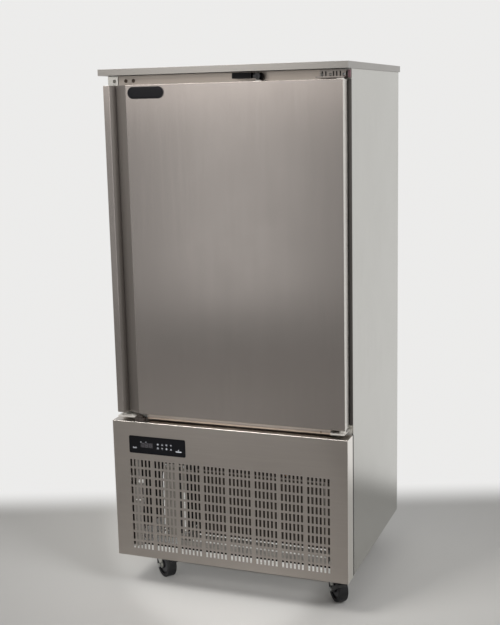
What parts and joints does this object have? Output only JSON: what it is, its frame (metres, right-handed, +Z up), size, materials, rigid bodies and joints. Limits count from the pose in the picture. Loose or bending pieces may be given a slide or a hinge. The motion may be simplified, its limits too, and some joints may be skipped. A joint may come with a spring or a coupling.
{
  "type": "blast chiller",
  "caption": "Upright stainless steel blast chiller on casters, with a full-height finger-pull door over a perforated machine cover that carries a black control fascia.",
  "frame": {"origin": "on the floor, under the middle of the object's box", "axes": "+X to the right seen from the front, +Y to the back, +Z up; the door faces -Y"},
  "size_m": [0.811, 0.68, 1.717],
  "materials": {
    "worktop_steel": "brushed stainless steel",
    "case_steel": "brushed stainless steel",
    "front_steel": "brushed stainless steel",
    "door_steel": "brushed stainless steel",
    "inner_steel": "bright rolled stainless steel",
    "galvanised": "galvanised",
    "foam": "rigid foam",
    "breaker_plastic": "matt",
    "fascia_plastic": "satin",
    "housing_plastic": "matt",
    "display_glass": "smoked",
    "key_plastic": "satin",
    "black_enamel": "satin black",
    "fin_aluminium": "plain fins",
    "dark_fins": "coated fins",
    "copper": "drawn copper",
    "fan_plastic": "matt",
    "motor_metal": "cast grey",
    "box_paint": "light grey",
    "gland_nylon": "matt",
    "gasket_rubber": "matt",
    "white_nylon": "matt",
    "bracket_steel": "satin",
    "buffer_rubber": "matt",
    "lock_plastic": "satin",
    "lock_metal": "nickel plated",
    "zinc": "zinc plated",
    "wheel_rubber": "matt",
    "pedal_plastic": "matt"
  },
  "bodies": {
    "cabinet": {"side_panel_left": "case_steel", "side_panel_right": "case_steel", "back_panel": "galvanised", "worktop": "worktop_steel", "header_rail": "front_steel", "sill_rail": "front_steel", "cavity_liner": "inner_steel", "insulation": "foam", "breaker_frame": "breaker_plastic", "base_frame": "galvanised", "unit_tray": "galvanised", "lower_cover": "front_steel", "control_fascia": "fascia_plastic", "control_housing": "housing_plastic", "display_lens": "display_glass", "compressor": "black_enamel", "condenser_coil": "dark_fins", "condenser_shroud": "galvanised", "fan_motors": "motor_metal", "liquid_receiver": "black_enamel", "refrigerant_pipes": "copper", "electrical_box": "box_paint", "cable_gland": "gland_nylon", "evaporator_coil": "fin_aluminium", "fan_panel": "inner_steel", "fan_guards": "zinc", "tray_racks": "inner_steel", "hinge_bracket_top": "bracket_steel", "hinge_bracket_bottom": "bracket_steel", "spare_hinge_bracket": "bracket_steel", "cover_buffer": "buffer_rubber", "lock_housing": "lock_plastic", "caster_plates": "zinc"},
    "door": {"door_skin": "door_steel", "door_liner": "inner_steel", "door_gasket": "gasket_rubber", "door_bushes": "white_nylon", "lock_striker": "bracket_steel"},
    "evaporator_fan_upper": {"evaporator_fan_upper": "fan_plastic"},
    "evaporator_fan_lower": {"evaporator_fan_lower": "fan_plastic"},
    "condenser_fan": {"condenser_fan": "fan_plastic"},
    "lock_barrel": {"lock_barrel": "lock_metal"},
    "key_1": {"key_1": "key_plastic"},
    "key_2": {"key_2": "key_plastic"},
    "key_3": {"key_3": "key_plastic"},
    "key_4": {"key_4": "key_plastic"},
    "key_5": {"key_5": "key_plastic"},
    "key_6": {"key_6": "key_plastic"},
    "key_7": {"key_7": "key_plastic"},
    "key_8": {"key_8": "key_plastic"},
    "fork_front_left": {"fork_front_left": "zinc"},
    "fork_front_right": {"fork_front_right": "zinc"},
    "fork_rear_left": {"fork_rear_left": "zinc"},
    "fork_rear_right": {"fork_rear_right": "zinc"},
    "wheel_front_left": {"wheel_front_left": "wheel_rubber"},
    "wheel_front_right": {"wheel_front_right": "wheel_rubber"},
    "wheel_rear_left": {"wheel_rear_left": "wheel_rubber"},
    "wheel_rear_right": {"wheel_rear_right": "wheel_rubber"},
    "brake_front_left": {"brake_front_left": "pedal_plastic"},
    "brake_front_right": {"brake_front_right": "pedal_plastic"}
  },
  "joints": [
    {"name": "door_hinge", "type": "hinge", "parent": "cabinet", "child": "door", "pos_m": [0.375, -0.3005, 1.1375], "axis": [0, 0, 1], "range_deg": [0, 110], "stiffness_Nm_per_rad": 3, "springref_deg": -20.05},
    {"name": "evaporator_fan_upper_spin", "type": "hinge", "parent": "cabinet", "child": "evaporator_fan_upper", "pos_m": [0, 0.12, 1.328], "axis": [0, 1, 0], "continuous": true},
    {"name": "evaporator_fan_lower_spin", "type": "hinge", "parent": "cabinet", "child": "evaporator_fan_lower", "pos_m": [0, 0.12, 0.928], "axis": [0, 1, 0], "continuous": true},
    {"name": "condenser_fan_spin", "type": "hinge", "parent": "cabinet", "child": "condenser_fan", "pos_m": [0.048, -0.049, 0.2535], "axis": [0, 1, 0], "continuous": true},
    {"name": "lock_turn", "type": "hinge", "parent": "cabinet", "child": "lock_barrel", "pos_m": [0.1165, -0.285, 1.6825], "axis": [0, -1, 0], "range_deg": [0, 90]},
    {"name": "key_1_press", "type": "slide", "parent": "cabinet", "child": "key_1", "axis": [0, 1, 0], "range_m": [0, 0.0004], "stiffness_N_per_m": 1500, "springref_m": -0.0004},
    {"name": "key_2_press", "type": "slide", "parent": "cabinet", "child": "key_2", "axis": [0, 1, 0], "range_m": [0, 0.0004], "stiffness_N_per_m": 1500, "springref_m": -0.0004},
    {"name": "key_3_press", "type": "slide", "parent": "cabinet", "child": "key_3", "axis": [0, 1, 0], "range_m": [0, 0.0004], "stiffness_N_per_m": 1500, "springref_m": -0.0004},
    {"name": "key_4_press", "type": "slide", "parent": "cabinet", "child": "key_4", "axis": [0, 1, 0], "range_m": [0, 0.0004], "stiffness_N_per_m": 1500, "springref_m": -0.0004},
    {"name": "key_5_press", "type": "slide", "parent": "cabinet", "child": "key_5", "axis": [0, 1, 0], "range_m": [0, 0.0004], "stiffness_N_per_m": 1500, "springref_m": -0.0004},
    {"name": "key_6_press", "type": "slide", "parent": "cabinet", "child": "key_6", "axis": [0, 1, 0], "range_m": [0, 0.0004], "stiffness_N_per_m": 1500, "springref_m": -0.0004},
    {"name": "key_7_press", "type": "slide", "parent": "cabinet", "child": "key_7", "axis": [0, 1, 0], "range_m": [0, 0.0004], "stiffness_N_per_m": 1500, "springref_m": -0.0004},
    {"name": "key_8_press", "type": "slide", "parent": "cabinet", "child": "key_8", "axis": [0, 1, 0], "range_m": [0, 0.0004], "stiffness_N_per_m": 1500, "springref_m": -0.0004},
    {"name": "swivel_front_left", "type": "hinge", "parent": "cabinet", "child": "fork_front_left", "pos_m": [-0.312, -0.195, 0.1], "axis": [0, 0, 1], "continuous": true},
    {"name": "swivel_front_right", "type": "hinge", "parent": "cabinet", "child": "fork_front_right", "pos_m": [0.312, -0.195, 0.1], "axis": [0, 0, 1], "continuous": true},
    {"name": "swivel_rear_left", "type": "hinge", "parent": "cabinet", "child": "fork_rear_left", "pos_m": [-0.312, 0.268, 0.1], "axis": [0, 0, 1], "continuous": true},
    {"name": "swivel_rear_right", "type": "hinge", "parent": "cabinet", "child": "fork_rear_right", "pos_m": [0.312, 0.268, 0.1], "axis": [0, 0, 1], "continuous": true},
    {"name": "roll_front_left", "type": "hinge", "parent": "fork_front_left", "child": "wheel_front_left", "pos_m": [-0.28206, -0.2184, 0.045], "axis": [-0.6157, -0.788, 0], "continuous": true},
    {"name": "roll_front_right", "type": "hinge", "parent": "fork_front_right", "child": "wheel_front_right", "pos_m": [0.33643, -0.22411, 0.045], "axis": [-0.766, -0.6428, 0], "continuous": true},
    {"name": "roll_rear_left", "type": "hinge", "parent": "fork_rear_left", "child": "wheel_rear_left", "pos_m": [-0.312, 0.23, 0.045], "axis": [1, 0, 0], "continuous": true},
    {"name": "roll_rear_right", "type": "hinge", "parent": "fork_rear_right", "child": "wheel_rear_right", "pos_m": [0.312, 0.23, 0.045], "axis": [1, 0, 0], "continuous": true},
    {"name": "brake_front_left_pedal", "type": "hinge", "parent": "fork_front_left", "child": "brake_front_left", "pos_m": [-0.28206, -0.2184, 0.045], "axis": [-0.6157, -0.788, 0], "range_deg": [0, 25]},
    {"name": "brake_front_right_pedal", "type": "hinge", "parent": "fork_front_right", "child": "brake_front_right", "pos_m": [0.33643, -0.22411, 0.045], "axis": [-0.766, -0.6428, 0], "range_deg": [0, 25]}
  ]
}
